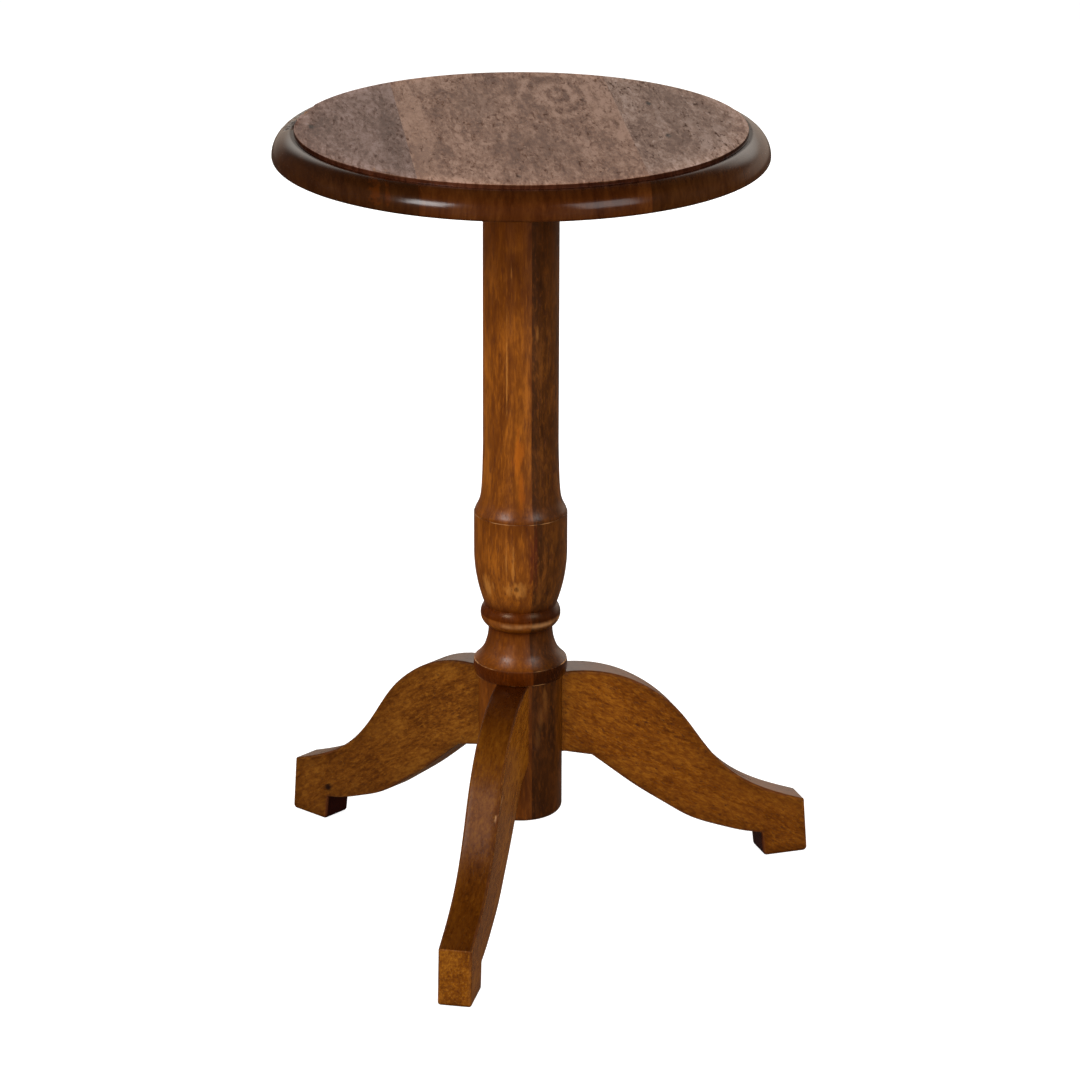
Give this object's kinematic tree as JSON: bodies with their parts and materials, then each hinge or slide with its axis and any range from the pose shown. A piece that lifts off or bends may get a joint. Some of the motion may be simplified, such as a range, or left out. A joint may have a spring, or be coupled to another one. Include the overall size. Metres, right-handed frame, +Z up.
{
  "type": "wine table",
  "caption": "Small round occasional table with a stepped, moulded top of glued boards on a turned column and splayed, swept legs.",
  "frame": {"origin": "on the floor, under the axis of the turned column", "axes": "+Z up along the column's axis; the front leg points along -Y and the right leg lies towards +X"},
  "size_m": [0.3978, 0.3985, 0.575],
  "materials": {
    "top_wood": "satin lacquer over red-brown stained hardwood",
    "column_light_wood": "satin lacquer, orange-brown half of the column",
    "column_dark_wood": "satin lacquer, darker half of the column",
    "leg_wood": "satin lacquer over golden brown hardwood",
    "bearer_wood": "stained, unpolished hardwood",
    "dowel_wood": "bare beech",
    "screw_steel": "dull zinc plate"
  },
  "bodies": {
    "root": {"top_board_left": "top_wood", "top_board_centre": "top_wood", "top_board_right": "top_wood", "edge_dowel_left_1": "dowel_wood", "edge_dowel_left_2": "dowel_wood", "edge_dowel_left_3": "dowel_wood", "edge_dowel_left_4": "dowel_wood", "edge_dowel_right_1": "dowel_wood", "edge_dowel_right_2": "dowel_wood", "edge_dowel_right_3": "dowel_wood", "edge_dowel_right_4": "dowel_wood", "top_bearer": "bearer_wood", "bearer_screw_1": "screw_steel", "bearer_screw_2": "screw_steel", "bearer_screw_3": "screw_steel", "bearer_screw_4": "screw_steel", "bearer_screw_5": "screw_steel", "bearer_screw_6": "screw_steel", "column_left_half": "column_light_wood", "column_right_half": "column_dark_wood", "leg_front": "leg_wood", "leg_dowel_front_upper": "dowel_wood", "leg_dowel_front_lower": "dowel_wood", "leg_right": "leg_wood", "leg_dowel_right_upper": "dowel_wood", "leg_dowel_right_lower": "dowel_wood", "leg_left": "leg_wood", "leg_dowel_left_upper": "dowel_wood", "leg_dowel_left_lower": "dowel_wood"}
  },
  "joints": []
}
